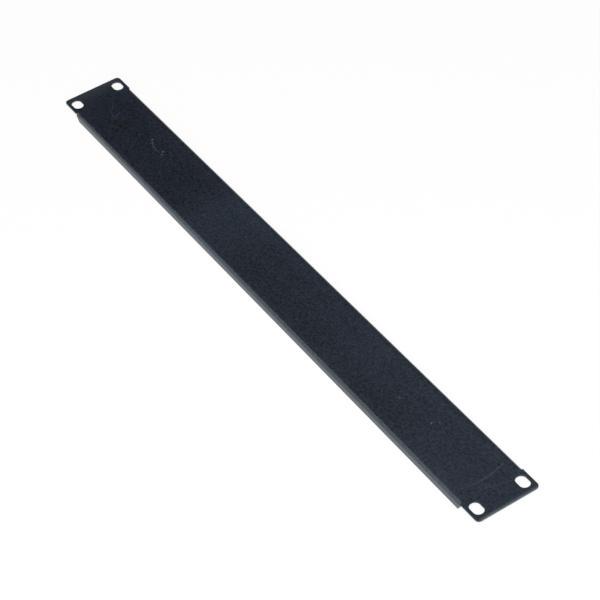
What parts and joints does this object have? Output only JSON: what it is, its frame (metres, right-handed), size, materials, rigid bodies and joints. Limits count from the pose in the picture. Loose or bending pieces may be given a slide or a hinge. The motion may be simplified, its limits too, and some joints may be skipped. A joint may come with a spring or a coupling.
{
  "type": "rack blanking panel",
  "caption": "Flat steel blanking panel for an unused 19-inch rack space, with folded-back long edges and a slotted mounting ear at each end.",
  "frame": {"origin": "midway along the panel and midway up its height, on the plane of the two flanges' free edges, which it lies on", "axes": "+X along the panel from ear to ear, +Y up the rack across its height, +Z out of the front face"},
  "size_m": [0.4826, 0.043, 0.0065],
  "materials": {
    "black_powder_coat": "smooth blue-black powder coat on folded sheet steel, satin"
  },
  "bodies": {
    "root": {"panel": "black_powder_coat"}
  },
  "joints": []
}
